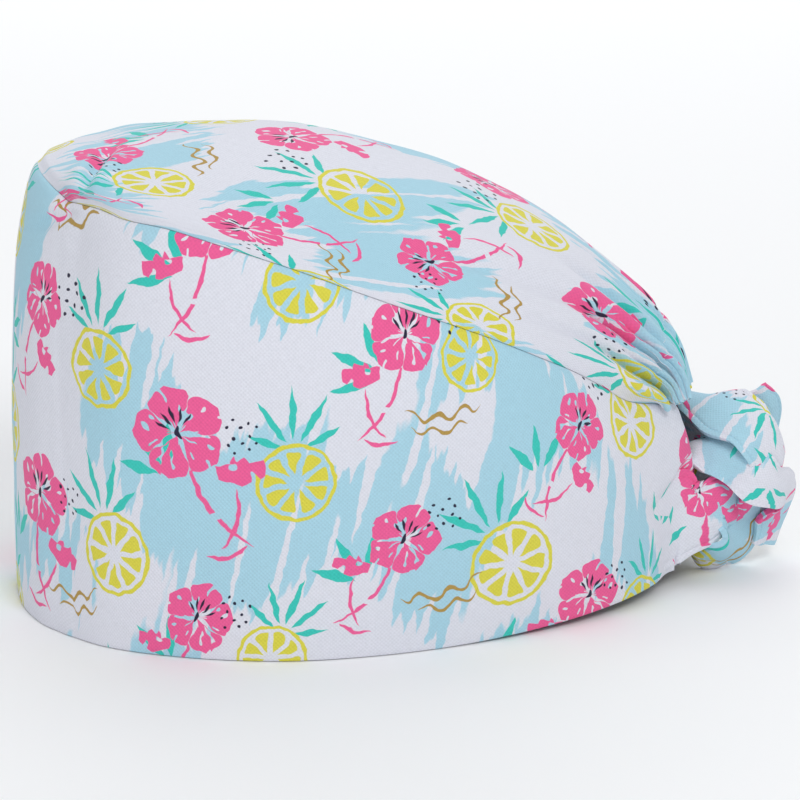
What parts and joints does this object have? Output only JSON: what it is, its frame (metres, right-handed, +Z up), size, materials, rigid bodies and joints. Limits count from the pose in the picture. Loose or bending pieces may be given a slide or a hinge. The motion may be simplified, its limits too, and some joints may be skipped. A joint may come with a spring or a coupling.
{
  "type": "surgical scrub cap",
  "caption": "Tie-back surgical scrub cap in printed cotton, shaped as worn, with a tall front band, a crown gathered at the back and knotted ties.",
  "frame": {"origin": "middle of the cap's footprint, at the plane of the rim that it stands on", "axes": "+Z up through the crown, +Y from the forehead towards the knot, +X to the wearer's left"},
  "size_m": [0.1534, 0.2384, 0.1405],
  "materials": {
    "band_cloth": "plain-weave cotton, printed, matte",
    "crown_cloth": "plain-weave cotton, printed, matte",
    "tie_cloth": "plain-weave cotton, printed, matte"
  },
  "bodies": {
    "root": {"band": "band_cloth", "crown": "crown_cloth", "tie_left": "tie_cloth", "tie_right": "tie_cloth"}
  },
  "joints": []
}
